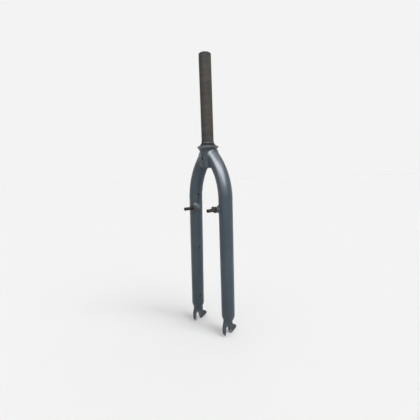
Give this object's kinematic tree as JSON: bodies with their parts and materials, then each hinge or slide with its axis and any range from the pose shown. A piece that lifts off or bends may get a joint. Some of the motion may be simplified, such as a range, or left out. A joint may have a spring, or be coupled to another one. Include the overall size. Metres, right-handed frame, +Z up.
{
  "type": "rigid bicycle fork",
  "caption": "Unicrown rigid bicycle fork with a bare threadless steerer, bent tubular blades, rim-brake bosses and slotted dropouts with mudguard eyelets.",
  "frame": {"origin": "on the steerer's axis, in the plane of the collar's top face that the crown race sits on", "axes": "+Z up the steerer, -Y towards the bicycle's front, +X towards the rider's left"},
  "size_m": [0.1386, 0.0723, 0.6599],
  "materials": {
    "paint": "dark slate-blue gloss paint, lightly chipped",
    "worn_paint": "same paint, rubbed through to bare metal round the axle slot",
    "bare_steel": "dull brownish steel with rub marks",
    "race_steel": "hardened dark steel",
    "boss_steel": "bare steel, slightly rusty",
    "fastener_steel": "zinc-plated steel"
  },
  "bodies": {
    "root": {"steerer_tube": "bare_steel", "crown_race": "race_steel", "crown_collar": "paint", "star_nut_body": "fastener_steel", "upper_star_spring": "fastener_steel", "lower_star_spring": "fastener_steel", "left_blade": "paint", "left_dropout": "worn_paint", "left_boss_foot": "paint", "left_spring_plate": "boss_steel", "left_pivot_stud": "boss_steel", "right_blade": "paint", "right_dropout": "worn_paint", "right_boss_foot": "paint", "right_spring_plate": "boss_steel", "right_pivot_stud": "boss_steel"}
  },
  "joints": []
}
